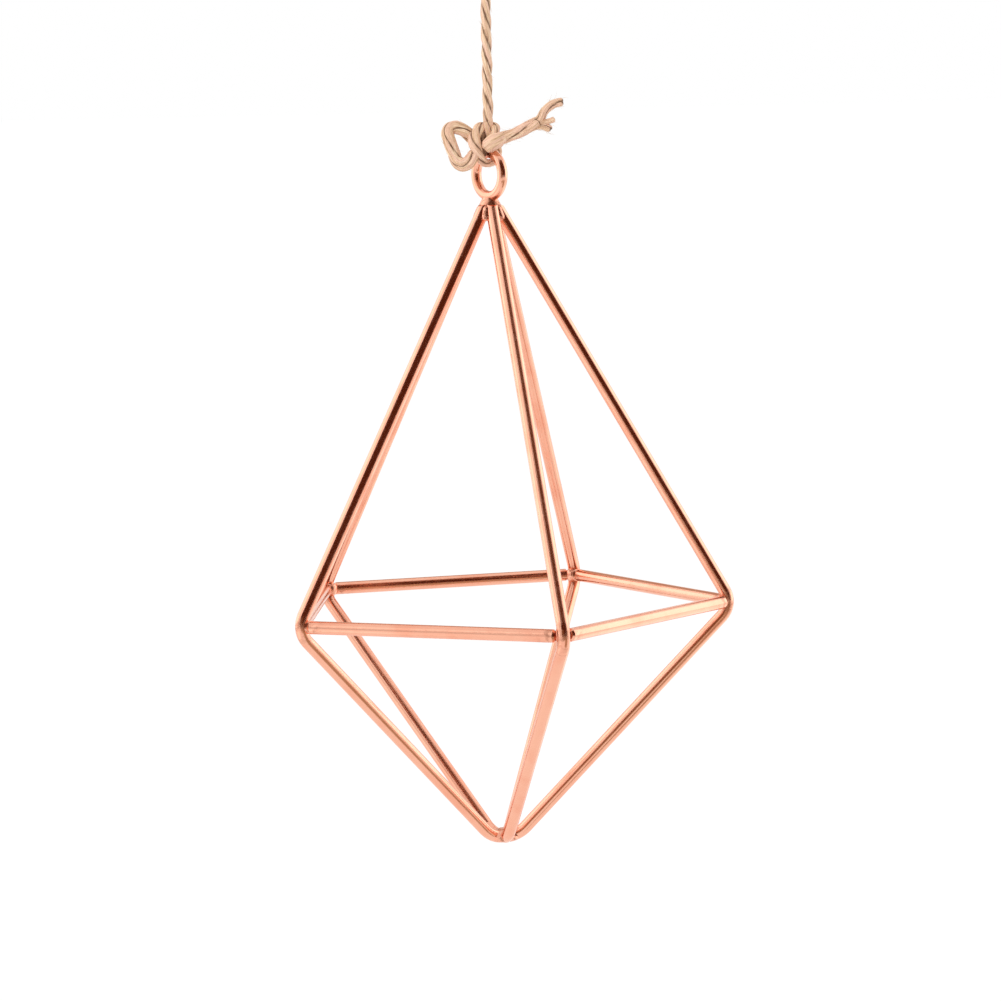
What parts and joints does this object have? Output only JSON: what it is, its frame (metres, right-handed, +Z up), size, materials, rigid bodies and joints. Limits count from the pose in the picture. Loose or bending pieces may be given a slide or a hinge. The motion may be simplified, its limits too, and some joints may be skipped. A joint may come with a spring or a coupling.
{
  "type": "air plant holder",
  "caption": "Hanging five-sided frame of bent, welded and copper-plated round rod that cradles an air plant, on a length of knotted twine.",
  "frame": {"origin": "inside top of the hanging loop, the point that bears on a hook", "axes": "+Z up along the taut twine and the frame's axis, +X towards the ring corner of rib_1, -Y towards the viewer of the picture"},
  "size_m": [0.1167, 0.1224, 0.2705],
  "materials": {
    "copper_plated_rod": "polished copper plate on steel rod",
    "copper_plated_weld": "copper plate over a smoothed weld",
    "twine": "natural jute, three plies with loose fibres"
  },
  "bodies": {
    "line": {"twine_top_loop": "twine", "twine_top_knot": "twine", "twine_standing": "twine"},
    "knot": {"twine_knot": "twine", "twine_eye_turn": "twine", "twine_bow_loop": "twine", "twine_tail": "twine", "tail_upper_end": "twine", "tail_lower_end": "twine"},
    "frame": {"rib_1": "copper_plated_rod", "rib_2": "copper_plated_rod", "rib_3": "copper_plated_rod", "rib_4": "copper_plated_rod", "rib_5": "copper_plated_rod", "ring_rod_1": "copper_plated_rod", "ring_rod_2": "copper_plated_rod", "ring_rod_3": "copper_plated_rod", "ring_rod_4": "copper_plated_rod", "ring_rod_5": "copper_plated_rod", "corner_weld_1": "copper_plated_weld", "corner_weld_2": "copper_plated_weld", "corner_weld_3": "copper_plated_weld", "corner_weld_4": "copper_plated_weld", "corner_weld_5": "copper_plated_weld", "apex_weld": "copper_plated_weld", "base_weld": "copper_plated_weld", "eye_ring": "copper_plated_rod", "eye_weld": "copper_plated_weld"}
  },
  "joints": [
    {"name": "turn", "type": "hinge", "parent": "line", "child": "knot", "pos_m": [0, 0, -0.07], "axis": [0, 0, 1], "range_deg": [-180, 180]},
    {"name": "swing", "type": "hinge", "parent": "knot", "child": "frame", "pos_m": [0, 0, -0.0783], "axis": [0.6428, -0.766, 0], "range_deg": [-45, 45]}
  ]
}
